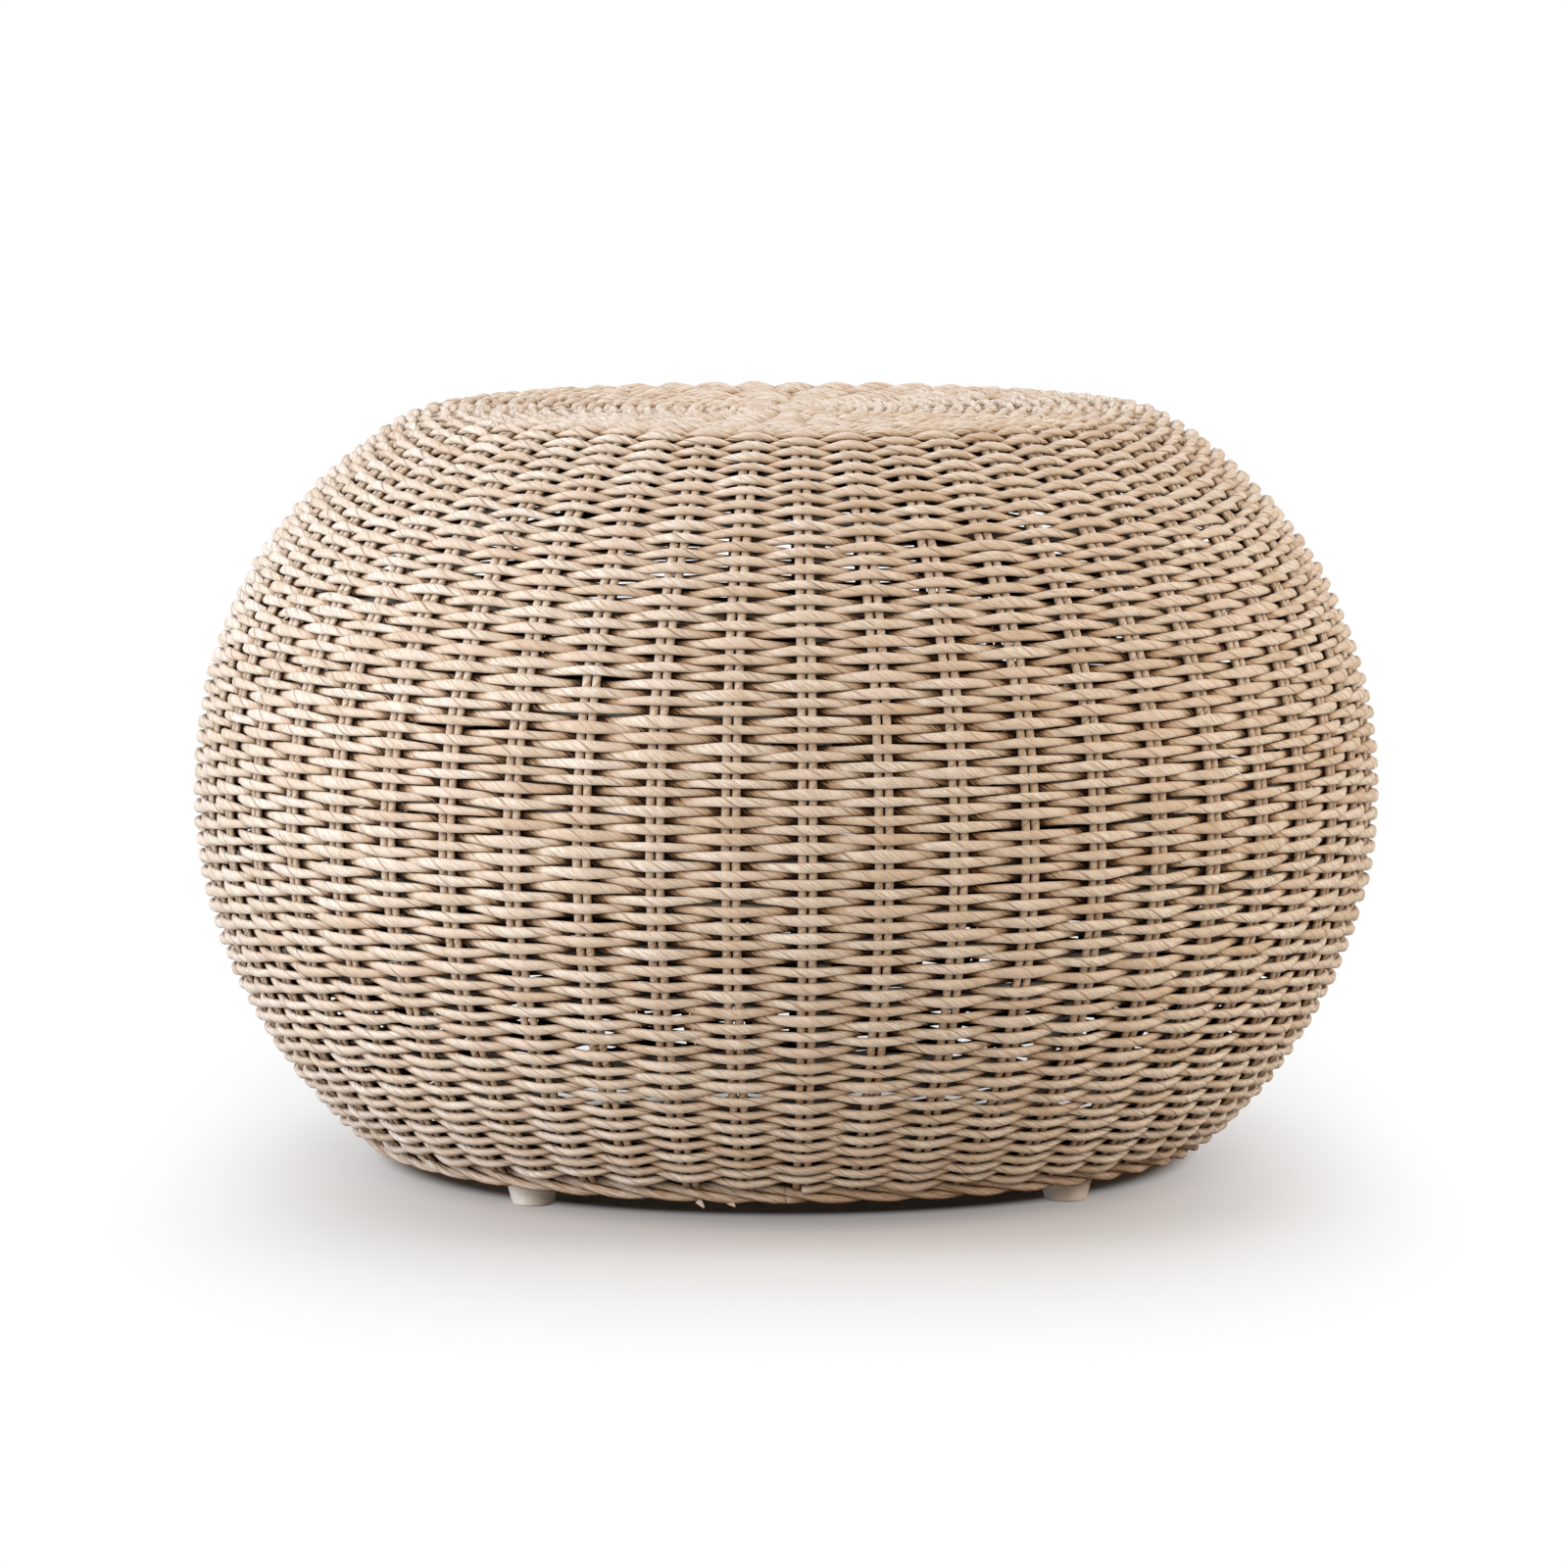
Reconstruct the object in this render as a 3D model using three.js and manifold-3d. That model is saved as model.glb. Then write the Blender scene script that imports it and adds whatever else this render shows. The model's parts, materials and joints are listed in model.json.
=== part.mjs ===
// Woven outdoor ottoman footstool: a barrel-shaped woven shell over a frame of bent flat bars.
// Units are millimetres and +Z is up. The origin is on the floor, under the middle of the stool.
// Radii are measured from the vertical middle line. Azimuth 0 points at +X and grows towards +Y.

import * as THREE from "three";
import { mergeVertices } from "three/addons/utils/BufferGeometryUtils.js";
import Module from "manifold-3d";

const wasm = await Module();
wasm.setup();

// Gaps and facets
const clearance = 0.3;
const overrun = 1;
const slopeStep = 0.01;
const bodyFacets = 40;
const smallFacets = 16;
const ropeFacets = 8;
const roundingFacets = 5;
const hexagonSides = 6;
const facetShare = Math.cos(Math.PI / bodyFacets);
const fullTurn = 2 * Math.PI;

// Feet: tapered glides that the whole stool stands on
const footCount = 4;
const footHeight = 13.7;
const footTopRadius = 13.8;
const footBottomRadius = 12;
const footChamfer = 0.8;

// Outer outline of the weave: two quarter curves that meet at the widest level
const wallLift = 5.7;
const edgeRadius = 255.6;
const edgeDrop = 201.6;
const widestRadius = 350;
const rimRise = 226.5;
const rimRadius = 219;
const upperPowers = { risePower: 2.1, sweepPower: 2.45 };
const lowerPowers = { risePower: 1.9, sweepPower: 2.5 };

// Seat: flat in the middle, a slight crest near the edge, then a rolled rim
const seatLift = 0.5;
const seatFlatRadius = 60;
const crestRise = 1.5;
const rimRoll = 10;
const rimPower = 2;

// Woven skin and its border rope
const weaveThickness = 12;
const borderRopeRadius = 7;
const shoulderSteps = 5;
const seatSteps = 3;
const rimSteps = 2;

// Stakes under the skin: fewer of them go on towards the middle of the seat
const frontStakeTurn = THREE.MathUtils.degToRad(2);
const rimStakes = 51;
const middleStakes = 25;
const innerStakes = 13;
const rimFanRadius = 195;
const middleRadius = 150;
const middleFanRadius = 105;
const innerRadius = 60;
const buttonRadius = 21;

// Relief of the outer face: the cords swell over each stake and draw in between the stakes
const reliefDepth = 3.8;
const swellShares = [1, 0.7, 0, 0.7];
const stakeEnd = 7;
const lowerRings = 4;
const upperRings = 7;

// Flat bars of the frame
const frameTurn = THREE.MathUtils.degToRad(3);
const hoopCount = 6;
const lowestHoopRise = 62.6;
const highestHoopDrop = 90.5;
const hoopWidth = 10;
const hoopThickness = 3;
const shoulderHoopStep = 2;
const ribCount = 8;
const ribWidth = 16;
const ribThickness = 4;
const ribInnerRadius = 30;
const ribSteps = 30;
const ribFootStraight = 8;
const hubRadius = 70;

// Base ring and the tabs that carry the feet
const ringWidth = 12;
const ringHeight = 16;
const tabWidth = 28;
const tabLength = 25;
const tabThickness = 4;
const tabCorner = 8;
const footInset = 8.2;

// Screws and nuts that hold the feet
const threadRadius = 3;
const headRadius = 5.2;
const headHeight = 3.3;
const headCrown = 1.1;
const headRecessRadius = 6.5;
const headRecessDepth = 5.5;
const socketRadius = 2.3;
const socketDepth = 2;
const nutRadius = 5.8;
const nutHeight = 5;
const screwReach = 1.5;

// Finishes
const wovenResin = new THREE.MeshStandardMaterial({ color: 0xc9b49c, roughness: 0.75, metalness: 0 });
const framePaint = new THREE.MeshStandardMaterial({ color: 0xb9b7b2, roughness: 0.45, metalness: 0.2 });
const glideNylon = new THREE.MeshStandardMaterial({ color: 0xe6dfd2, roughness: 0.5, metalness: 0 });
const zincSteel = new THREE.MeshStandardMaterial({ color: 0xa9abae, roughness: 0.35, metalness: 1 });

// Outline

const wallEdgeHeight = footHeight + wallLift;
const widestHeight = wallEdgeHeight + edgeDrop;
const rimHeight = widestHeight + rimRise;
const seatHeight = rimHeight + seatLift;

// Radius at a height above or below the widest level, on the curve that ends at (endRadius, endReach).
function quarterCurve(reach, endReach, endRadius, { risePower, sweepPower }) {
  const endFall = 1 - Math.pow(endRadius / widestRadius, sweepPower);
  const fall = endFall * Math.pow(reach / endReach, risePower);
  return widestRadius * Math.pow(1 - fall, 1 / sweepPower);
}

function wallRadius(height) {
  if (height > widestHeight) {
    return quarterCurve(height - widestHeight, rimRise, rimRadius, upperPowers);
  }
  return quarterCurve(widestHeight - height, edgeDrop, edgeRadius, lowerPowers);
}

// A place on the outer surface of the wall, with its upward direction along the wall.
function wallStation(height) {
  const run = wallRadius(height + slopeStep) - wallRadius(height - slopeStep);
  const along = new THREE.Vector2(run, 2 * slopeStep).normalize();
  return { at: new THREE.Vector2(wallRadius(height), height), along };
}

const rim = wallStation(rimHeight);
const crestRadius = rimRadius - rimRoll;
const crestHeight = seatHeight + crestRise;

function seatLevel(radius) {
  if (radius <= seatFlatRadius) {
    return seatHeight;
  }
  if (radius <= crestRadius) {
    const share = (radius - seatFlatRadius) / (crestRadius - seatFlatRadius);
    return seatHeight + (crestRise * (1 - Math.cos(Math.PI * share))) / 2;
  }
  const share = (radius - crestRadius) / rimRoll;
  return crestHeight - (crestHeight - rimHeight) * Math.pow(share, rimPower);
}

// A place on the top of the seat, with its direction towards the middle.
function seatStation(radius) {
  const drop = seatLevel(radius + slopeStep) - seatLevel(radius - slopeStep);
  const along = new THREE.Vector2(-2 * slopeStep, -drop).normalize();
  return { at: new THREE.Vector2(radius, seatLevel(radius)), along };
}

// A point under a station: deep into the stool, and moved along the surface.
function under(station, depth, shift = 0) {
  const inward = new THREE.Vector2(-station.along.y, station.along.x);
  return station.at.clone().addScaledVector(inward, depth).addScaledVector(station.along, shift);
}

// The straight stretch of the skin's inner face between two stations, which a flat bar lies on.
function innerSeat(lower, upper) {
  const from = under(lower, weaveThickness);
  const to = under(upper, weaveThickness);
  return { at: from.clone().lerp(to, 0.5), along: to.clone().sub(from).normalize() };
}

const lowestHoopHeight = wallEdgeHeight + lowestHoopRise;
const hoopPitch = (rimHeight - highestHoopDrop - lowestHoopHeight) / (hoopCount - 1);

// Two stations for each hoop, a quarter pitch below and above it, and more round the shoulder.
function wallHeights() {
  const quarterPitch = hoopPitch / 4;
  const highest = rimHeight - highestHoopDrop + quarterPitch;
  const heights = [wallEdgeHeight, (wallEdgeHeight + lowestHoopHeight) / 2];
  for (let i = 0; i < hoopCount; i += 1) {
    const height = lowestHoopHeight + i * hoopPitch;
    heights.push(height - quarterPitch, height + quarterPitch);
  }
  for (let i = 1; i <= shoulderSteps; i += 1) {
    heights.push(highest + ((rimHeight - highest) * i) / shoulderSteps);
  }
  return heights;
}

// Stations of the seat from the rim to the flat middle.
function seatRadii() {
  const radii = [];
  for (let i = rimSteps - 1; i >= 0; i -= 1) {
    radii.push(crestRadius + (rimRoll * i) / rimSteps);
  }
  for (let i = seatSteps - 1; i >= 0; i -= 1) {
    radii.push(seatFlatRadius + ((crestRadius - seatFlatRadius) * i) / seatSteps);
  }
  return radii;
}

const wallStations = wallHeights().map(wallStation);
const seatStations = seatRadii().map(seatStation);
const firstHoopStation = wallStations.length - shoulderSteps - 2 * hoopCount;

// Solids

// A profile of radius and height turned about the vertical middle line.
function turned(profile, facets, turn = 0) {
  const geometry = new THREE.LatheGeometry(profile, facets);
  geometry.rotateX(Math.PI / 2);
  geometry.rotateZ(turn);
  return geometry;
}

function closed(profile) {
  return [...profile, profile[0].clone()];
}

function body(profile) {
  return turned(profile, bodyFacets, Math.PI / bodyFacets);
}

function solidOf(geometry) {
  const bare = geometry.clone();
  bare.deleteAttribute("normal");
  bare.deleteAttribute("uv");
  const merged = mergeVertices(bare);
  const vertProperties = new Float32Array(merged.attributes.position.array);
  const triVerts = new Uint32Array(merged.index.array);
  return new wasm.Manifold(new wasm.Mesh({ numProp: 3, vertProperties, triVerts }));
}

function cut(stock, tool) {
  const left = solidOf(stock).subtract(solidOf(tool)).getMesh();
  const geometry = new THREE.BufferGeometry();
  geometry.setAttribute("position", new THREE.BufferAttribute(left.vertProperties, 3));
  geometry.setIndex(new THREE.BufferAttribute(left.triVerts, 1));
  geometry.computeVertexNormals();
  return geometry;
}

function prism(shape, height, level) {
  const options = { depth: height, bevelEnabled: false, curveSegments: roundingFacets };
  const geometry = new THREE.ExtrudeGeometry(shape, options);
  geometry.translate(0, 0, level);
  return geometry;
}

function hexagon(radius) {
  const corner = (i) => {
    const angle = (2 * Math.PI * i) / hexagonSides;
    return new THREE.Vector2(radius * Math.cos(angle), radius * Math.sin(angle));
  };
  return new THREE.Shape(Array.from({ length: hexagonSides }, (_, i) => corner(i)));
}

function roundHole(x, y, radius) {
  return new THREE.Path().absarc(x, y, radius, 0, 2 * Math.PI, true);
}

const stool = new THREE.Group();
const turnedFrame = new THREE.Group();
turnedFrame.rotation.z = frameTurn;
stool.add(turnedFrame);

function place(name, geometry, material, holder = turnedFrame) {
  const mesh = new THREE.Mesh(geometry, material);
  mesh.name = name;
  holder.add(mesh);
  return mesh;
}

// Stakes: 51 of them stand in the wall. On the seat they fan together in pairs, and only one of
// each pair goes on inwards, so each zone of the seat has about half the stakes of the one outside it.

const weaveTurn = frontStakeTurn - Math.PI / 2 - frameTurn;

function zone(stakes, endRadius, fanRadius) {
  return { stakes, endRadius, fanRadius, pitch: fullTurn / stakes };
}

const rimZone = zone(rimStakes, middleRadius, rimFanRadius);
const middleZone = zone(middleStakes, innerRadius, middleFanRadius);
const innerZone = zone(innerStakes, buttonRadius, buttonRadius);

// An inner zone starts so that its stakes spread to both sides of the pairs they go on from.
function follow(outer, inner) {
  const drift = inner.pitch - 2 * outer.pitch;
  inner.start = outer.start - (drift * (inner.stakes - 1)) / 2;
  outer.next = inner;
}

rimZone.start = weaveTurn;
follow(rimZone, middleZone);
follow(middleZone, innerZone);

// Azimuth of a place counted in stakes: a whole number is on a stake, a half is between two.
function stakeAzimuth({ stakes, endRadius, fanRadius, pitch, start, next }, count, radius) {
  const own = start + pitch * count;
  if (!next) {
    return own;
  }
  const last = 2 * (next.stakes - 1);
  const beyond = Math.max(count - last, 0);
  const pairs = Math.min(count, last) / 2 + beyond / (stakes - last);
  const fanned = next.start + next.pitch * pairs;
  return THREE.MathUtils.lerp(fanned, own, THREE.MathUtils.smoothstep(radius, endRadius, fanRadius));
}

// Rings: points round the stool, from which the two woven skins are built

function plainRing(at) {
  const step = fullTurn / bodyFacets;
  const first = Math.floor(weaveTurn / step);
  return Array.from({ length: bodyFacets }, (_, i) => ({ azimuth: (first + i + 1 / 2) * step, at }));
}

// A ring of a zone at a station, with a depth under the outer face for each step between stakes.
function zoneRing(station, around, radius, shift, depths) {
  const steps = depths.length;
  const point = (i) => {
    const azimuth = stakeAzimuth(around, i / steps, radius);
    return { azimuth, at: under(station, depths[i % steps], shift) };
  };
  return Array.from({ length: around.stakes * steps }, (_, i) => point(i));
}

const reliefDepths = swellShares.map((share) => reliefDepth * (1 - share));
const middleDepths = swellShares.map(() => weaveThickness / 2);

function wallRing(height) {
  return zoneRing(wallStation(height), rimZone, rimRadius, 0, reliefDepths);
}

function seatRing(radius, around) {
  return zoneRing(seatStation(radius), around, radius, 0, reliefDepths);
}

function middlePoint(height) {
  return [{ azimuth: weaveTurn, at: new THREE.Vector2(0, height) }];
}

function azimuthAt(ring, i) {
  return i < ring.length ? ring[i].azimuth : ring[0].azimuth + fullTurn;
}

// A closed body over rings in their order, the last joined to the first. Neighbouring rings may have
// different numbers of points: the next triangle always steps on along the ring that lags behind.
function skinOver(rings) {
  const positions = [];
  const triangles = [];
  const starts = [];
  for (const ring of rings) {
    starts.push(positions.length / 3);
    for (const { azimuth, at } of ring) {
      positions.push(at.x * Math.cos(azimuth), at.x * Math.sin(azimuth), at.y);
    }
  }
  for (let k = 0; k < rings.length; k += 1) {
    const next = (k + 1) % rings.length;
    const [from, to] = [rings[k], rings[next]];
    const fromSteps = from.length > 1 ? from.length : 0;
    const toSteps = to.length > 1 ? to.length : 0;
    const fromPoint = (i) => starts[k] + (i % from.length);
    const toPoint = (j) => starts[next] + (j % to.length);
    let i = 0;
    let j = 0;
    while (i < fromSteps || j < toSteps) {
      const lags = i < fromSteps && azimuthAt(from, i + 1) < azimuthAt(to, j + 1);
      if (j === toSteps || lags) {
        triangles.push(fromPoint(i), fromPoint(i + 1), toPoint(j));
        i += 1;
      } else {
        triangles.push(fromPoint(i), toPoint(j + 1), toPoint(j));
        j += 1;
      }
    }
  }
  const geometry = new THREE.BufferGeometry();
  geometry.setAttribute("position", new THREE.Float32BufferAttribute(positions, 3));
  geometry.setIndex(triangles);
  geometry.computeVertexNormals();
  return geometry;
}

// Woven wall: an open barrel from the bottom edge to the rim of the seat

// Heights of the outer rings, evenly up to the widest level and closer together round the shoulder.
function outsideHeights() {
  const heights = [];
  for (let i = 0; i < lowerRings; i += 1) {
    heights.push(wallEdgeHeight + (edgeDrop * i) / lowerRings);
  }
  for (let i = 0; i <= upperRings; i += 1) {
    heights.push(widestHeight + rimRise * Math.sin((Math.PI / 2) * (i / upperRings)));
  }
  return heights;
}

const wallEdge = wallStation(wallEdgeHeight);
const wallSkin = [
  zoneRing(wallEdge, rimZone, rimRadius, 0, middleDepths),
  ...outsideHeights().map(wallRing),
  zoneRing(rim, rimZone, rimRadius, 0, middleDepths),
  ...wallStations.map((station) => plainRing(under(station, weaveThickness))).reverse(),
];
place("wall_weave", skinOver(wallSkin), wovenResin);

// Woven seat: a dished round panel that meets the wall at the rolled rim, with a button in the middle

const seatSkin = [
  middlePoint(seatHeight - weaveThickness),
  ...seatStations.map((station) => plainRing(under(station, weaveThickness))).reverse(),
  plainRing(under(rim, weaveThickness, clearance)),
  zoneRing(rim, rimZone, rimRadius, clearance, middleDepths),
  zoneRing(rim, rimZone, rimRadius, clearance, reliefDepths),
  seatRing(crestRadius, rimZone),
  seatRing(rimFanRadius, rimZone),
  seatRing(middleRadius + stakeEnd, rimZone),
  seatRing(middleRadius - stakeEnd, middleZone),
  seatRing(middleFanRadius, middleZone),
  seatRing(innerRadius + stakeEnd, middleZone),
  seatRing(innerRadius - stakeEnd, innerZone),
  seatRing(buttonRadius + stakeEnd, innerZone),
  plainRing(new THREE.Vector2(buttonRadius, seatHeight)),
  middlePoint(seatHeight),
];
place("seat_weave", skinOver(seatSkin), wovenResin);

// Border: a twisted rope that closes the bottom edge of the wall

const borderMiddle = under(wallEdge, borderRopeRadius, -borderRopeRadius - clearance);

function ropeSection(middle, radius) {
  const corner = (i) => {
    const angle = (2 * Math.PI * i) / ropeFacets;
    return new THREE.Vector2(middle.x + radius * Math.cos(angle), middle.y + radius * Math.sin(angle));
  };
  return Array.from({ length: ropeFacets }, (_, i) => corner(i));
}

place("border_rope", body(closed(ropeSection(borderMiddle, borderRopeRadius))), wovenResin);

// Hoops: flat bars rolled round the inside of the weave, flush against it

function hoop(name, lower, upper) {
  const seat = innerSeat(lower, upper);
  const half = hoopWidth / 2;
  const back = clearance + hoopThickness;
  const section = [
    under(seat, clearance, -half),
    under(seat, clearance, half),
    under(seat, back, half),
    under(seat, back, -half),
  ];
  place(name, body(closed(section)), framePaint);
}

for (let i = 0; i < hoopCount; i += 1) {
  const lower = firstHoopStation + 2 * i;
  hoop(`wall_hoop_${i + 1}`, wallStations[lower], wallStations[lower + 1]);
}
const shoulderStation = wallStations.length - shoulderHoopStep;
hoop("shoulder_hoop", wallStations[shoulderStation - 1], wallStations[shoulderStation]);
for (let i = 1; i < seatSteps; i += 1) {
  const inner = rimSteps - 1 + i;
  hoop(`seat_hoop_${i}`, seatStations[inner - 1], seatStations[inner]);
}

// Hub plate: a disc over the inner ends of the ribs

const hubTop = seatHeight - weaveThickness - clearance;
const hubProfile = [
  new THREE.Vector2(0, hubTop - hoopThickness),
  new THREE.Vector2(hubRadius, hubTop - hoopThickness),
  new THREE.Vector2(hubRadius, hubTop),
  new THREE.Vector2(0, hubTop),
];
place("hub_plate", body(hubProfile), framePaint);

// Base ring: a rolled square bar inside the border, which the ribs and the foot tabs are welded to

const ringOuterRadius = borderMiddle.x - borderRopeRadius - clearance;
const ringInnerRadius = ringOuterRadius - ringWidth;
const ringBottom = footHeight + clearance;
const ringTop = ringBottom + ringHeight;
const ringProfile = [
  new THREE.Vector2(ringOuterRadius, ringBottom),
  new THREE.Vector2(ringOuterRadius, ringTop),
  new THREE.Vector2(ringInnerRadius, ringTop),
  new THREE.Vector2(ringInnerRadius, ringBottom),
];
place("base_ring", body(closed(ringProfile)), framePaint);

// Ribs: flat bars that rise from the base ring, follow the wall and turn in under the seat

function ribPath() {
  const ringMiddle = (ringOuterRadius + ringInnerRadius) / 2;
  const foot = ringTop + clearance;
  const depth = clearance + hoopThickness + clearance + ribThickness / 2;
  const points = [
    new THREE.Vector2(ringMiddle, foot),
    new THREE.Vector2(ringMiddle, foot + ribFootStraight),
  ];
  const stations = [...wallStations.slice(1), ...seatStations];
  for (let i = 1; i < stations.length; i += 1) {
    points.push(under(innerSeat(stations[i - 1], stations[i]), depth));
  }
  const endLevel = seatHeight - weaveThickness - depth;
  points.push(new THREE.Vector2(seatFlatRadius, endLevel), new THREE.Vector2(ribInnerRadius, endLevel));
  return new THREE.CatmullRomCurve3(
    points.map((point) => new THREE.Vector3(point.x * facetShare, 0, point.y)),
  );
}

function flatBar(width, thickness) {
  const x = width / 2;
  const y = thickness / 2;
  return new THREE.Shape([
    new THREE.Vector2(-x, -y),
    new THREE.Vector2(x, -y),
    new THREE.Vector2(x, y),
    new THREE.Vector2(-x, y),
  ]);
}

const ribGeometry = new THREE.ExtrudeGeometry(flatBar(ribWidth, ribThickness), {
  steps: ribSteps,
  extrudePath: ribPath(),
});
for (let i = 0; i < ribCount; i += 1) {
  const rib = place(`rib_${i + 1}`, ribGeometry, framePaint);
  rib.rotation.z = (2 * Math.PI * i) / ribCount;
}

// Foot tab: a plate on the inner face of the base ring, with the hole for the foot's screw

const tabOuter = ringInnerRadius * facetShare - clearance;
const screwRadialPlace = tabOuter - footInset;

function tabShape() {
  const inner = tabOuter - tabLength;
  const half = tabWidth / 2;
  const shape = new THREE.Shape();
  shape.moveTo(tabOuter, -half);
  shape.lineTo(tabOuter, half);
  shape.lineTo(inner + tabCorner, half);
  shape.absarc(inner + tabCorner, half - tabCorner, tabCorner, Math.PI / 2, Math.PI, false);
  shape.absarc(inner + tabCorner, tabCorner - half, tabCorner, Math.PI, 1.5 * Math.PI, false);
  shape.holes.push(roundHole(screwRadialPlace, 0, threadRadius + clearance));
  return shape;
}

// Foot: a tapered moulded glide with a recess for the head of its screw

function footProfile() {
  const bore = threadRadius + clearance;
  return [
    new THREE.Vector2(headRecessRadius, 0),
    new THREE.Vector2(footBottomRadius - footChamfer, 0),
    new THREE.Vector2(footBottomRadius, footChamfer),
    new THREE.Vector2(footTopRadius, footHeight - footChamfer),
    new THREE.Vector2(footTopRadius - footChamfer, footHeight),
    new THREE.Vector2(bore, footHeight),
    new THREE.Vector2(bore, headRecessDepth),
    new THREE.Vector2(headRecessRadius, headRecessDepth),
  ];
}

// Screw: a domed head with a hexagon socket, its thread reaching through the nut

const tabTop = ringBottom + tabThickness;
const nutBottom = tabTop + clearance;
const screwTop = nutBottom + nutHeight + screwReach;
const headTop = headRecessDepth - clearance;
const headBottom = headTop - headHeight;

function screwGeometry() {
  const profile = [
    new THREE.Vector2(0, headBottom),
    new THREE.Vector2(headRadius - headCrown, headBottom),
    new THREE.Vector2(headRadius, headBottom + headCrown),
    new THREE.Vector2(headRadius, headTop),
    new THREE.Vector2(threadRadius, headTop),
    new THREE.Vector2(threadRadius, screwTop),
    new THREE.Vector2(0, screwTop),
  ];
  const socket = prism(hexagon(socketRadius), socketDepth + overrun, headBottom - overrun);
  return cut(turned(profile, smallFacets), socket);
}

// Nut: a hexagon nut welded to the top of the foot tab

function nutGeometry() {
  const shape = hexagon(nutRadius);
  shape.holes.push(roundHole(0, 0, threadRadius + clearance));
  return prism(shape, nutHeight, nutBottom);
}

const tabGeometry = prism(tabShape(), tabThickness, ringBottom);
const footGeometry = turned(closed(footProfile()), smallFacets);
const footScrewGeometry = screwGeometry();
const footNutGeometry = nutGeometry();
for (let i = 0; i < footCount; i += 1) {
  const corner = new THREE.Group();
  corner.rotation.z = (2 * Math.PI * i) / footCount + Math.PI / footCount;
  turnedFrame.add(corner);
  const screwLine = new THREE.Group();
  screwLine.position.x = screwRadialPlace;
  corner.add(screwLine);
  place(`foot_tab_${i + 1}`, tabGeometry, framePaint, corner);
  place(`foot_${i + 1}`, footGeometry, glideNylon, screwLine);
  place(`foot_screw_${i + 1}`, footScrewGeometry, zincSteel, screwLine);
  place(`foot_nut_${i + 1}`, footNutGeometry, zincSteel, screwLine);
}

export default stool;
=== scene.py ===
# %% [markdown]
# # A round woven footstool for the porch
# The real stool is a barrel of twisted resin cord woven over a light aluminium frame, standing on
# four small nylon glides. The frame comes packed from CAD and stays as it is. Here the plain skin
# is replaced by real strands, and every part gets the finish of its material.

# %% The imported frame
import json
import math

import bpy
import numpy as np
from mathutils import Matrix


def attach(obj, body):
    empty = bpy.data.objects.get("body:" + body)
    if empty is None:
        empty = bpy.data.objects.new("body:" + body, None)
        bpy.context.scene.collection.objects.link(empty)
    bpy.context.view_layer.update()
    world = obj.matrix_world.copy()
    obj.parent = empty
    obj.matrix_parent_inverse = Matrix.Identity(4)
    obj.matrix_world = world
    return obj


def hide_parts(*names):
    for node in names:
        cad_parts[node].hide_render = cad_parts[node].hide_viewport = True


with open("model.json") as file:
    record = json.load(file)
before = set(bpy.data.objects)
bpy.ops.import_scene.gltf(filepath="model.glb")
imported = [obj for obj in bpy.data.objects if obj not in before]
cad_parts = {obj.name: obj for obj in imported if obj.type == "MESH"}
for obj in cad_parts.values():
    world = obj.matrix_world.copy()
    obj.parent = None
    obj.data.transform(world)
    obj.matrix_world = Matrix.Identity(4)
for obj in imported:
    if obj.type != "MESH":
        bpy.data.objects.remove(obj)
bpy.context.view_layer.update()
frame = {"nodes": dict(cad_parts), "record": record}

# %% [markdown]
# ## The camera
# The photograph was taken from far off with a long lens, a little above the seat, so the seat is
# seen as a thin ellipse. Distance, height and lens come from the outline and the feet.

# %% Camera
MM = 0.001               # lengths are in mm, unless a comment says metres
CAMERA_DISTANCE, CAMERA_HEIGHT = 4.8, 0.7745         # in metres
LOOK_DOWN = 6.54         # in degrees

lens = bpy.data.cameras.new("camera")
lens.sensor_width, lens.lens = 36, 187.56    # a long lens on a full frame sensor
lens.shift_x = -0.00125
camera = bpy.data.objects.new("camera", lens)
camera.location = (0, -CAMERA_DISTANCE, CAMERA_HEIGHT)
camera.rotation_euler = (math.radians(90 - LOOK_DOWN), 0, 0)
bpy.context.scene.collection.objects.link(camera)
bpy.context.scene.camera = camera
print("camera", tuple(round(v, 3) for v in camera.location))

# %% [markdown]
# ## The line that the weaver follows
# All strands lie in one round skin, 12 mm thick. Its outline is drawn as in CAD: two quarter
# curves for the wall, which meet at the widest level, and a seat with a slight crest. Then the
# line is smoothed, because thick strands bend softly over the rim. The middle of the skin is
# 6 mm inside the line. Its length, measured up the wall and in over the seat, is called the
# climb, and every strand is placed by its climb and its angle round the stool.

# %% Outline of the skin
SKIN = 12.0
EDGE_LEVEL, WIDEST_LEVEL, RIM_LEVEL = 19.4, 221.0, 447.5
EDGE_RADIUS, WIDEST_RADIUS, RIM_RADIUS = 255.6, 350.0, 219.0
LOW_POWERS, HIGH_POWERS = (1.9, 2.5), (2.1, 2.45)    # how full the two quarter curves are
SEAT_LEVEL, CREST_RISE, FLAT_RADIUS, RIM_ROLL = 448.0, 1.5, 60.0, 10.0
SOFTNESS = 7             # the smoothing reaches about so far to each side


def quarter(share, end_radius, rise_power, sweep_power):
    """Radius of the wall at a share of the way from the widest level to one of its ends."""
    fall = (1 - (end_radius / WIDEST_RADIUS) ** sweep_power) * share ** rise_power
    return WIDEST_RADIUS * (1 - fall) ** (1 / sweep_power)


def seat_level(radius):
    """Level of the seat: flat in the middle, easing up to a crest, then rolling down."""
    crest_radius = RIM_RADIUS - RIM_ROLL
    share = np.clip((radius - FLAT_RADIUS) / (crest_radius - FLAT_RADIUS), 0, 1)
    rise = CREST_RISE * (1 - np.cos(math.pi * share)) / 2
    rolled = np.clip((radius - crest_radius) / RIM_ROLL, 0, 1)
    crest = SEAT_LEVEL + CREST_RISE
    return SEAT_LEVEL + rise - (crest - RIM_LEVEL) * rolled ** 2


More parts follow.
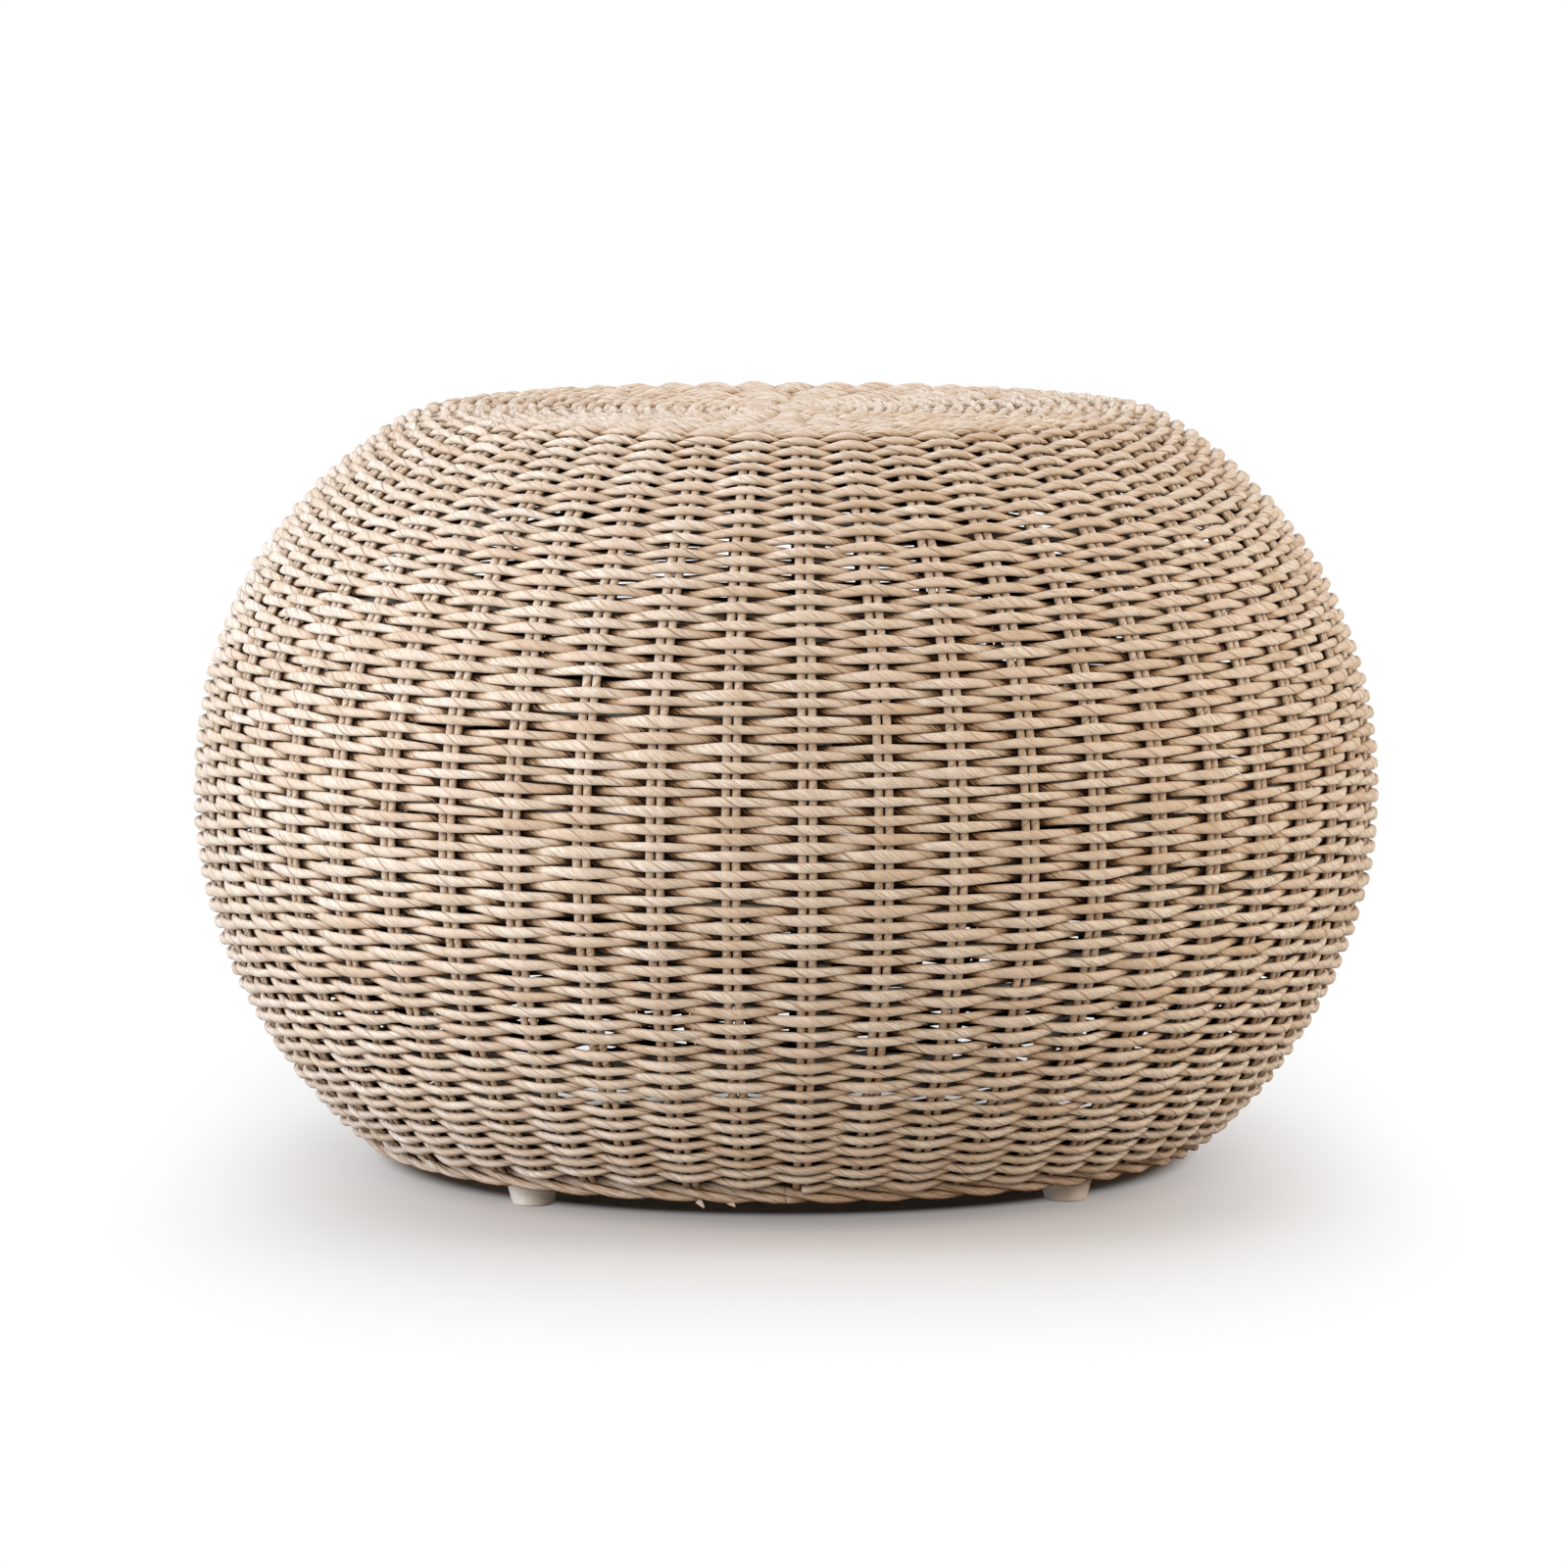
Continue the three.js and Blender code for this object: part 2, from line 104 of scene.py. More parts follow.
low_z = np.arange(EDGE_LEVEL, WIDEST_LEVEL, 1.0)
high_z = np.arange(WIDEST_LEVEL, RIM_LEVEL, 1.0)
seat_r = np.arange(RIM_RADIUS, -0.5, -1.0)
low_share = (WIDEST_LEVEL - low_z) / (WIDEST_LEVEL - EDGE_LEVEL)
high_share = (high_z - WIDEST_LEVEL) / (RIM_LEVEL - WIDEST_LEVEL)
outer_r = np.concatenate([
    quarter(low_share, EDGE_RADIUS, *LOW_POWERS),
    quarter(high_share, RIM_RADIUS, *HIGH_POWERS),
    seat_r,
])
outer_z = np.concatenate([low_z, high_z, seat_level(seat_r)])


def run_length(r, z):
    """Length along a line of points, from its first point."""
    return np.concatenate([[0], np.cumsum(np.hypot(np.diff(r), np.diff(z)))])


def evened(r, z):
    """The same line with points about 1 mm apart, and its corners softened."""
    length = run_length(r, z)
    even = np.linspace(0, length[-1], int(length[-1]) + 1)
    reach = 4 * SOFTNESS
    weights = np.exp(-0.5 * (np.arange(-reach, reach + 1) / SOFTNESS) ** 2)
    weights /= weights.sum()
    lines = []
    for values in (np.interp(even, length, r), np.interp(even, length, z)):
        before = 2 * values[0] - values[reach:0:-1]
        after = 2 * values[-1] - values[-2:-reach - 2:-1]
        lines.append(np.convolve(np.concatenate([before, values, after]), weights, "valid"))
    return lines


line_r, line_z = evened(outer_r, outer_z)
slope_r, slope_z = np.gradient(line_r), np.gradient(line_z)
slope = np.hypot(slope_r, slope_z)
out_r, out_z = slope_z / slope, -slope_r / slope
mid_r, mid_z = line_r - SKIN / 2 * out_r, line_z - SKIN / 2 * out_z
mid_climb = run_length(mid_r, mid_z)


def climb_at_radius(radius):
    """Climb of the point of the seat at that radius."""
    top = np.flatnonzero(mid_z > SEAT_LEVEL - SKIN)
    return float(np.interp(-radius, -mid_r[top], mid_climb[top]))


print("climb to the middle of the seat", round(float(mid_climb[-1])), "mm")

# %% [markdown]
# ## Where the stakes stand
# The upright stakes are pairs of round cords. On the wall and the outer seat there are 51 of them.
# An odd number makes each turn of the strand pass on the other side of a stake than the turn
# before, so one strand can be woven on and on as a spiral. Towards the middle of the seat there
# is less and less room, so first 25 and then 13 stakes go on, and the others end there.

# %% Stakes, ring by ring
FRONT_STAKE = 2.0        # degrees from the front towards the right
RINGS = [                # each ends at "inner", and from "fan" on its stakes lean to the next ring
    {"stakes": 51, "inner": 150.0, "fan": 195.0},
    {"stakes": 25, "inner": 60.0, "fan": 105.0},
    {"stakes": 13, "inner": 21.0},
]
STAKES = RINGS[0]["stakes"]
for place, ring in enumerate(RINGS):
    pitch = 360 / ring["stakes"]
    start = FRONT_STAKE
    if place > 0:
        # Every second stake goes on. They part a little more, evenly to both sides.
        wider = RINGS[place - 1]
        parting = pitch - 2 * 360 / wider["stakes"]
        start = wider["home"][0] - parting * (ring["stakes"] - 1) / 2
    ring["home"] = (start, pitch)
    print("ring", ring["stakes"], "first stake at", round(start, 2), "degrees")


def stake_angle(place, number, radius):
    """Angle in degrees of a stake, or of a point between two stakes, at that radius."""
    ring = RINGS[place]
    count = ring["stakes"]
    turns, number = np.divmod(number, count)
    start, pitch = ring["home"]
    angle = start + pitch * number
    if place + 1 < len(RINGS):
        inner = RINGS[place + 1]
        inner_start, inner_pitch = inner["home"]
        last = 2 * (inner["stakes"] - 1)
        fanned = np.interp(
            number,
            [0, last, count],
            [inner_start, inner_start + inner_pitch * (inner["stakes"] - 1), inner_start + 360],
        )
        share = np.clip((ring["fan"] - radius) / (ring["fan"] - ring["inner"]), 0, 1)
        share = share * share * (3 - 2 * share)
        angle = angle + share * (fanned - angle)
    return angle + 360 * turns


# %% [markdown]
# ## From a line to a strand
# Curves with a bevel would give every strand one round section. The real cord is a flat tape,
# twisted and pressed, tall where it passes over a stake and squeezed where it crosses its
# neighbours. So each strand is made ring by ring: a rounded section is carried along the path,
# with its flat side on the skin. The map "lay" holds the length along the strand, in metres,
# and the share of the way round it, so that the material can wind its seam round the strand.

# %% Helper: a strand along a path


def around(r, z, angle):
    """Points, or directions, at an angle in degrees from the front towards the right."""
    turn = np.radians(angle)
    return np.stack([r * np.sin(turn), -r * np.cos(turn), z], axis=1)


def on_skin(climb, angle, lift):
    """Points in metres from the climb, the angle and the height above the middle of the skin."""
    r = np.interp(climb, mid_climb, mid_r) + lift * np.interp(climb, mid_climb, out_r)
    z = np.interp(climb, mid_climb, mid_z) + lift * np.interp(climb, mid_climb, out_z)
    return around(r, z, angle) * MM


def away_from_skin(climb, angle):
    """Directions that point straight out of the skin."""
    r = np.interp(climb, mid_climb, out_r)
    z = np.interp(climb, mid_climb, out_z)
    return around(r, z, angle)


def unit(vectors):
    """The same directions with length 1."""
    return vectors / np.linalg.norm(vectors, axis=1, keepdims=True)


def squarer(wave, power):
    """A sine or cosine with broader tops. A power of 1 leaves it as it is."""
    return np.sign(wave) * np.abs(wave) ** power


def strand(name, path, outward, depth, thick, tall, lead,
           start=0.0, sides=10, swell=0.035, corner=1.0):
    """A closed strand along path. thick and tall are half sizes, one for each point, and depth is
    how far out the point lies, for the painted shade of the gaps. The section swells once in each
    lead, by the share swell, and a corner below 1 makes it squarer. start is in metres."""
    count = len(path)
    along = unit(np.gradient(path, axis=0))
    out = unit(outward - along * np.sum(outward * along, axis=1, keepdims=True))
    side = np.cross(out, along)
    steps = np.linalg.norm(np.diff(path, axis=0), axis=1)
    length = start + np.concatenate([[0], np.cumsum(steps)])
    share = np.arange(sides) / sides
    turn = 2 * math.pi * share
    twist = np.cos(2 * math.pi * (share[None, :] + length[:, None] / (lead * MM)))
    size = (1 + swell * twist) * MM
    x = size * thick[:, None] * squarer(np.cos(turn), corner)[None, :]
    y = size * tall[:, None] * squarer(np.sin(turn), corner)[None, :]
    points = path[:, None, :] + x[:, :, None] * out[:, None, :] + y[:, :, None] * side[:, None, :]

    base = np.arange(count - 1)[:, None] * sides
    here = base + np.arange(sides)[None, :]
    beside = base + (np.arange(sides)[None, :] + 1) % sides
    quads = np.stack([here, here + sides, beside + sides, beside], axis=2).reshape(-1, 4)
    caps = np.concatenate([np.arange(sides), (count - 1) * sides + np.arange(sides)[::-1]])
    corners = np.concatenate([quads.ravel(), caps])
    totals = np.concatenate([np.full(len(quads), 4), [sides, sides]])
    starts = np.concatenate([[0], np.cumsum(totals)[:-1]])

    mesh = bpy.data.meshes.new(name)
    mesh.vertices.add(count * sides)
    mesh.vertices.foreach_set("co", points.reshape(-1))
    mesh.loops.add(len(corners))
    mesh.loops.foreach_set("vertex_index", corners.astype(np.int32))
    mesh.polygons.add(len(totals))
    mesh.polygons.foreach_set("loop_start", starts.astype(np.int32))
    mesh.polygons.foreach_set("use_smooth", np.arange(len(totals)) < len(quads))
    mesh.update(calc_edges=True)

    low = np.repeat(length[:-1], sides)
    high = np.repeat(length[1:], sides)
    left = np.tile(share, count - 1)
    right = left + 1 / sides
    lay = np.stack([low, left, high, left, high, right, low, right], axis=1).reshape(-1, 2)
    cap_lay = np.stack([np.repeat(length[[0, -1]], sides), np.tile(share, 2)], axis=1)
    layer = mesh.uv_layers.new(name="lay")
    layer.data.foreach_set("uv", np.concatenate([lay, cap_lay]).ravel().astype(np.float32))
    height = (depth[:, None] + x / MM).ravel().astype(np.float32)
    mesh.attributes.new("height", "FLOAT", "POINT").data.foreach_set("value", height)
    mesh.validate()
    made = bpy.data.objects.new(name, mesh)
    bpy.context.scene.collection.objects.link(made)
    return made, float(length[-1])


# %% [markdown]
# ## The weft: one strand from the border to the middle of the seat
# The path rises one pitch in each turn and swings from the outside of one stake to the inside of
# the next. It is laid out in eight steps from stake to stake. Small seeded differences in pitch,
# swing and section keep it hand made. At the very middle the strand is wound into a flat button.

# %% Weft path
STEPS = 8                # from stake to stake
PITCH = 4.95             # from one turn to the next, as near as whole turns allow
FIRST_ROW = 3.2          # climb where the strand starts
SWING = 3.8              # to each side of the middle of the skin
FLATTER = 0.4            # so much less swing on the seat, with the tops at the same level
LEAD = 28.0              # length of one twist of the tape
THICK, PRESSED = 2.2, 0.1            # half its thickness, and so much less on a stake
SEAT_SHADE = 1.8         # so much deeper reaches the painted shade of the gaps on the seat
ROW_SPREAD, BUNCH_SPREAD, LIFT_SPREAD = 0.42, 0.4, 0.3
TALL_SPREAD, THICK_SPREAD = 0.1, 0.05                # as shares of the section
BUNCH = 6                # crossings over which rows bunch and part
rng = np.random.default_rng(51)


def wander(count, spread):
    """One random difference for each crossing, eased from one to the next, for every step."""
    picks = rng.normal(0, spread, count + 1)
    share = (1 - np.cos(math.pi * np.arange(STEPS) / STEPS)) / 2
    eased = picks[:-1, None] + (picks[1:] - picks[:-1])[:, None] * share[None, :]
    return eased.ravel()


def drift(count, spread):
    """A slow difference that lasts over several crossings, so that rows bunch and part."""
    spots = np.arange(count * STEPS) / STEPS
    knots = np.arange(0, count + BUNCH + 1, BUNCH)
    return np.interp(spots, knots, rng.normal(0, spread, len(knots)))


rim_climb = climb_at_radius(RIM_RADIUS)


def on_seat(climb):
    """0 on the wall and 1 on the seat, eased over the rim."""
    return np.interp(climb, [rim_climb - 40, rim_climb + 10], [0, 1])


def shade_near_floor(climb):
    """How much deeper the painted shade of the gaps reaches near the floor."""
    return np.interp(climb, [0, 120, 260], [0.8, 0.6, 0])


def slim(radius):
    """Half height of the tape between two stakes. The rows of a narrow ring lie closer."""
    return np.interp(radius, [200, 250, 330], [2.05, 2.2, 2.35])


def bulge(climb):
    """How much taller it stands over a stake. It is pressed at the border and on the seat."""
    levels = [0, 150, 350, rim_climb, rim_climb + 20]
    return np.interp(climb, levels, [0.15, 0.85, 0.85, 0.5, 0.2])


parts = []
climb_from = FIRST_ROW
sign = 1.0               # the strand starts outside the first stake
turned = 0
for place, ring in enumerate(RINGS):
    climb_to = climb_at_radius(ring["inner"])
    turns = round((climb_to - climb_from) / PITCH)
    crossings = turns * ring["stakes"]
    number = np.arange(crossings * STEPS) / STEPS
    climb = climb_from + (climb_to - climb_from) * number / crossings
    radius = np.interp(climb, mid_climb, mid_r)
    over = sign * np.cos(math.pi * number)
    squeeze = FLATTER * on_seat(climb)
    tall = slim(radius) + bulge(climb) * np.abs(over) ** 1.5
    parts.append({
        "angle": stake_angle(place, number, radius) + 360 * turned,
        "climb": climb + wander(crossings, ROW_SPREAD) + drift(crossings, BUNCH_SPREAD),
        # depth sets the painted shade of the gaps, deeper on the seat and near the floor
        "depth": SWING * over - SEAT_SHADE * on_seat(climb) - shade_near_floor(climb),
        "lift": (SWING - squeeze + wander(crossings, LIFT_SPREAD)) * over + squeeze,
        "tall": tall * (1 + wander(crossings, TALL_SPREAD)),
        "thick": (THICK - PRESSED * np.abs(over)) * (1 + wander(crossings, THICK_SPREAD)),
    })
    print("ring", ring["stakes"], "has", turns, "turns", "pitch",
          round((climb_to - climb_from) / turns, 2), "mm")
    sign *= (-1) ** crossings
    turned += turns
    climb_from = climb_to

# %% The button: flat turns without stakes
BUTTON_TURNS, BUTTON_STEPS = 4, 28   # and steps in each turn
BUTTON_LIFT = 3.4        # its top is level with the seat of the solid
BUTTON_TALL, BUTTON_THICK = 2.9, 2.4
BUTTON_END = 1.2         # radius where the strand ends
number = np.arange(BUTTON_TURNS * BUTTON_STEPS + 1) / BUTTON_STEPS
fade = np.clip(1 - number * 2, 0, 1)
lift = sign * SWING * fade + BUTTON_LIFT * (1 - fade)
parts.append({
    "angle": RINGS[-1]["home"][0] + 360 * turned + 360 * number,
    "climb": climb_from + (climb_at_radius(BUTTON_END) - climb_from) * number / BUTTON_TURNS,
    "depth": lift,
    "lift": lift,
    "tall": np.full(len(number), BUTTON_TALL),
    "thick": np.full(len(number), BUTTON_THICK),
})
weft = {key: np.concatenate([part[key] for part in parts]) for key in parts[0]}
print("weft steps", len(weft["climb"]))

# %% [markdown]
# ### The weft as meshes
# The strand is cut where the wall becomes the seat, so that each piece stands for one solid of
# the frame, and then into lengths that make no mesh too heavy. The twist goes on over each cut.

# %% Weft strands
MOST_STEPS = 9000        # in one mesh
rim_step = int(np.searchsorted(parts[0]["climb"], rim_climb))
bands = []
for first, last, node in ((0, rim_step, "wall"), (rim_step, len(weft["climb"]) - 1, "seat")):
    pieces = math.ceil((last - first) / MOST_STEPS)
    cuts = [first + round((last - first) * i / pieces / STEPS) * STEPS for i in range(pieces)]
    cuts.append(last)
    bands += [(a, b, node) for a, b in zip(cuts[:-1], cuts[1:])]

weft_path = on_skin(weft["climb"], weft["angle"], weft["lift"])
weft_out = away_from_skin(weft["climb"], weft["angle"])
woven = []
used = 0.0
for index, (a, b, node) in enumerate(bands):
    run = slice(a, b + 1)
    made, used = strand(
        f"{node}_weft_{index + 1}", weft_path[run], weft_out[run], weft["depth"][run],
        weft["thick"][run], weft["tall"][run], LEAD, start=used % (LEAD * MM), corner=0.8,
    )
    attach(made, "root")
    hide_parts("wall_weave" if node == "wall" else "seat_weave")
    woven.append(made)
    print(made.name, len(made.data.polygons), "faces")

# %% [markdown]
# ## The stakes
# Each stake is a pair of thin cords side by side. A stake starts in the border and runs up the
# wall to the ring of the seat where its number ends. The cords of the right half are joined to
# one piece, and those of the left half to another.

# %% Stakes
CORD, CORD_FLAT = 2.5, 0.74          # half the width of a cord, and thickness to width
CORD_GAP = 5.8           # from the middle of one cord of a pair to the other
CORD_LEAD = 11.0
CORD_DEPTH, CORD_FLOOR_SHADE = 0.8, 2.5    # how far out it counts for the painted shade, and how much less so near the floor
STAKE_STEP = 7.0
STAKE_PAST = 3.0         # a stake ends so far inside its last ring


def stake_run(number):
    """Climb and angle of a stake from the border to its inner end."""
    places = [number]
    for ring in RINGS[1:]:
        if places[-1] % 2 or places[-1] // 2 >= ring["stakes"]:
            break
        places.append(places[-1] // 2)
    end = climb_at_radius(RINGS[len(places) - 1]["inner"] - STAKE_PAST)
    climb = np.linspace(0, end, int(end / STAKE_STEP))
    radius = np.interp(climb, mid_climb, mid_r)
    angle = stake_angle(0, number, radius)
    for place in range(1, len(places)):
        inner = stake_angle(place, places[place], radius)
        angle = np.where(radius < RINGS[place - 1]["inner"], inner, angle)
    return climb, angle


cords = []
for number in range(STAKES):
    climb, angle = stake_run(number)
    middle = on_skin(climb, angle, FLATTER * on_seat(climb))
    out = away_from_skin(climb, angle)
    sideways = unit(np.cross(np.gradient(middle, axis=0), out))
    size = np.full(len(climb), CORD)
    for hand in (-1, 1):
        path = middle + hand * sideways * CORD_GAP / 2 * MM
        # the painted shade of the gaps reaches deeper near the floor
        made, _ = strand("cord", path, out, CORD_DEPTH - CORD_FLOOR_SHADE * shade_near_floor(climb),
                         size * CORD_FLAT, size, CORD_LEAD, sides=8, swell=0.05)
        cords.append(made)
half = 2 * (STAKES // 2)             # two cords for each of the first 25 stakes
bpy.ops.object.select_all(action="DESELECT")
for name, group in (("stakes_right", cords[:half]), ("stakes_left", cords[half:])):
    for cord in group:
        cord.select_set(True)
    bpy.context.view_layer.objects.active = group[0]
    bpy.ops.object.join()
    stakes = bpy.context.view_layer.objects.active
    stakes.name = stakes.data.name = name
    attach(stakes, "root")
    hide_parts("wall_weave")
    bpy.ops.object.select_all(action="DESELECT")
    print(name, len(stakes.data.polygons), "faces")

# %% [markdown]
# ## The border
# The lower edge is finished with three strands, laid round each other like a rope. They pass
# behind one stake after another, so the rope turns once in three stakes. Two frayed ends of
# tape hang from it, left of the middle.

# %% Border rope
ROPE_RADIUS, ROPE_LEVEL = 245.5, 19.9
ROPE_STRAND, ROPE_ORBIT = 2.85, 3.25     # radius of a strand, and of its way round the others
ROPE_LEAD = math.radians(3 * 360 / STAKES) * ROPE_RADIUS
ROPE_DEPTH = -1.5        # painted shade: it lies in the shade of the wall, so it is painted darker, as if it lay deeper
angle = np.linspace(0, 360, STAKES * 10 + 1)
out = around(np.ones(len(angle)), np.zeros(len(angle)), angle)
size = np.full(len(angle), ROPE_STRAND)
depth = np.full(len(angle), ROPE_DEPTH)
for number in range(3):
    orbit = np.radians(120 * number - (angle - FRONT_STAKE) * STAKES / 3)
    r = ROPE_RADIUS + ROPE_ORBIT * np.cos(orbit)
    z = ROPE_LEVEL + ROPE_ORBIT * np.sin(orbit)
    path = around(r, z, angle) * MM
    rope, _ = strand(f"border_strand_{number + 1}", path, out, depth, size, size, ROPE_LEAD)
    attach(rope, "root")
    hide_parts("border_rope")

# %% Frayed tape ends
TAPE_ENDS = ((-11.6, 2.4), (-7.5, 1.4))      # angle in degrees, and how far it hangs down
TAPE_START = 1.5         # so far up in the rope it starts
TAPE_LEAN = 0.9          # in degrees
TAPE_OUT = (1.0, 3.0)    # in front of the middle of the rope, at its start and its tip
TAPE_THICK, TAPE_WIDE = (0.35, 0.25), (2.4, 0.5)     # half sizes, at its start and its tip
TAPE_DEPTH = 2.0         # how far out it counts for the painted shade
share = np.linspace(0, 1, 7)
for number, (at, hang) in enumerate(TAPE_ENDS):
    angle = at + TAPE_LEAN * share
    r = ROPE_RADIUS + np.interp(share, (0, 1), TAPE_OUT)
    z = ROPE_LEVEL - ROPE_ORBIT - ROPE_STRAND + TAPE_START - (hang + TAPE_START) * share
    out = around(np.ones(len(share)), np.zeros(len(share)), angle)
    fray, _ = strand(
        f"tape_end_{number + 1}", around(r, z, angle) * MM, out,
        np.full(len(share), TAPE_DEPTH), np.interp(share, (0, 1), TAPE_THICK),
        np.interp(share, (0, 1), TAPE_WIDE), ROPE_LEAD,
    )
    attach(fray, "root")
    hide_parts("border_rope")

# %% [markdown]
# ## The glides
# The feet are moulded nylon glides, narrower at the floor, with soft edges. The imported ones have
# flat facets, so each is turned again from its profile: the sole, the flared side, the bore of
# the screw and the recess of its head.

# %% Glides
GLIDE_HEIGHT, SOLE_RADIUS, TOP_RADIUS = 13.7, 12.0, 15.6
BORE_RADIUS, RECESS_RADIUS, RECESS_DEPTH = 3.2, 6.5, 5.5
GLIDE_EDGE = 1.4         # radius of its soft edges

bpy.ops.object.select_all(action="DESELECT")
profile = [
    (RECESS_RADIUS, 0.0), (SOLE_RADIUS, 0.0), (TOP_RADIUS, GLIDE_HEIGHT),
    (BORE_RADIUS, GLIDE_HEIGHT), (BORE_RADIUS, RECESS_DEPTH), (RECESS_RADIUS, RECESS_DEPTH),
]
outline = bpy.data.meshes.new("foot")
outline.from_pydata(
    [(r * MM, 0, z * MM) for r, z in profile],
    [(i, (i + 1) % len(profile)) for i in range(len(profile))],
    [],
)
foot = bpy.data.objects.new("foot", outline)
bpy.context.scene.collection.objects.link(foot)
bpy.context.view_layer.objects.active = foot
foot.select_set(True)
bpy.ops.object.modifier_add(type="SCREW")
lathe = foot.modifiers[-1]
lathe.steps = lathe.render_steps = 72
lathe.use_merge_vertices = True
lathe.merge_threshold = 0.01 * MM
bpy.ops.object.modifier_apply(modifier=lathe.name)
bpy.ops.object.mode_set(mode="EDIT")
bpy.ops.mesh.select_all(action="SELECT")
bpy.ops.mesh.normals_make_consistent(inside=False)
bpy.ops.object.mode_set(mode="OBJECT")
bpy.ops.object.modifier_add(type="BEVEL")
bevel = foot.modifiers[-1]
bevel.width = GLIDE_EDGE * MM
bevel.segments = 4
bevel.limit_method = "ANGLE"
bpy.ops.object.modifier_apply(modifier=bevel.name)
bpy.ops.object.shade_smooth_by_angle(angle=math.radians(35))
glides = []
for number in range(1, 5):
    glide = foot.copy()
    glide.data = foot.data.copy()
    glide.name = glide.data.name = f"glide_{number}"
    packed = frame["nodes"][f"foot_{number}"]
    corners = [packed.matrix_world @ point.co for point in packed.data.vertices]
    x = (min(c.x for c in corners) + max(c.x for c in corners)) / 2
    y = (min(c.y for c in corners) + max(c.y for c in corners)) / 2
    for point in glide.data.vertices:
        point.co.x += x
        point.co.y += y
    bpy.context.scene.collection.objects.link(glide)
    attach(glide, "root")
    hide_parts(f"foot_{number}")
    glides.append(glide)
bpy.data.objects.remove(foot)
print("glides", len(glides), "with", len(glides[0].data.polygons), "faces each")

# %% [markdown]
# ## Finishes
# A finish is a small tree of nodes. One helper turns a hex colour into the linear numbers that
# Blender works with, one adds any node with its settings and its links, and the others add the
# few kinds of node that come back again and again.

# %% Helpers for materials


def colour(code):
    """Linear colour from an sRGB hex value."""
    values = [int(code[i:i + 2], 16) / 255 for i in (0, 2, 4)]
    return tuple(v / 12.92 if v <= 0.04045 else ((v + 0.055) / 1.055) ** 2.4 for v in values) + (1,)


def put(tree, kind, settings, inputs):
    """Adds a node. An input is a number, a colour, or the socket that it is linked to."""
    made = tree.nodes.new("ShaderNode" + kind)
    for name, value in settings.items():
        setattr(made, name, value)
    for place, value in inputs.items():
        if isinstance(value, bpy.types.NodeSocket):
            tree.links.new(value, made.inputs[place])
        else:
            made.inputs[place].default_value = value
    return made.outputs


def maths(tree, operation, *values):
    """The result of one operation."""
    return put(tree, "Math", {"operation": operation}, dict(enumerate(values)))[0]


def ranged(tree, value, low, high, first=0.0, last=1.0, ease="LINEAR"):
    """first where the value is low, last where it is high, and a blend between them."""
    limits = {0: value, 1: low, 2: high, 3: first, 4: last}
    return put(tree, "MapRange", {"interpolation_type": ease}, limits)[0]


def blend(tree, share, first, second):
    """A colour that goes from first to second with the share."""
    return put(tree, "Mix", {"data_type": "RGBA"}, {0: share, 6: first, 7: second})[2]


def ramp(tree, value, stops):
    """A colour from two or more stops, each a place and a hex colour."""
    made = put(tree, "ValToRGB", {}, {0: value})[0]
    elements = made.node.color_ramp.elements
    for end in (0, -1):
        elements[end].position, elements[end].color = stops[end][0], colour(stops[end][1])
    for at, code in stops[1:-1]:
        elements.new(at).color = colour(code)
    return made


def distance(tree, point, centre):
    """How far a point lies from a centre, in metres."""
    return put(tree, "VectorMath", {"operation": "DISTANCE"}, {0: point, 1: centre})[1]


def empty_material(name):
    """A new material with its nodes removed, and its tree."""
    made = bpy.data.materials.new(name)
    made.use_nodes = True
    made.node_tree.nodes.clear()
    return made, made.node_tree


# %% [markdown]
# ### Twisted resin cord
# The cord is polyethylene tape, extruded with streaks in the colour of dry straw, then folded
# and twisted. Its edge winds round as a thin brown seam, and fine streaks run along the seam.
# It is matte with a soft sheen. Where it lies deep between its neighbours little light comes in, so
# it is painted dark there as painted shade, and it loses its sheen.

# %% Resin cord
STREAK_WIDTH, STREAK_LENGTH, LINE_WIDTH = 0.5, 8.5, 0.23
SEAM_WIDTH = 0.97        # from the bottom of the groove to its edge
FOLD = 0.52              # the tape is folded, so a second, shallower seam lies opposite the first
PRESS_LENGTH = 29        # the seam opens and shuts about once in that length
SEAM_SHARE, LINE_SHARE = 0.68, 0.6   # how strongly seam and lines are coloured
RELIEF, STREAK_RELIEF = 0.5, 0.35    # depth of the seam, and of the streaks as a share of it
STREAKS = ((0.38, "a9947b"), (0.57, "dcd4c8"))
TONES = (                # length of a patch, detail, where it begins, where it is full, how much
    (59, 2.0, 0.4, 0.68, 0.6, "bba68f"),         # short darker patches
    (625, 2.0, 0.46, 0.66, 0.5, "b0967a"),       # long browner runs of tape
    (91, 1.0, 0.48, 0.7, 0.5, "cdbcad"),         # a faint blush
)
# Painted shade of the gaps: the colour is multiplied by this ramp, darker where the cord lies
# deeper
PAINTED_SHADE = ((0.0, "ffffff"), (0.2, "ffffff"), (0.58, "dfcdb6"), (0.74, "7b5a3a"), (0.86, "150702"))
SHADE_FROM, SHADE_TO = 6.5, -0.5     # height where the painted shade begins, and where it is darkest
SHADE_RAGGED = 5.0       # how much the streaks shift it
WEFT_RADIUS, CORD_RADIUS = 2.8, 2.1  # of round cords with the same girth


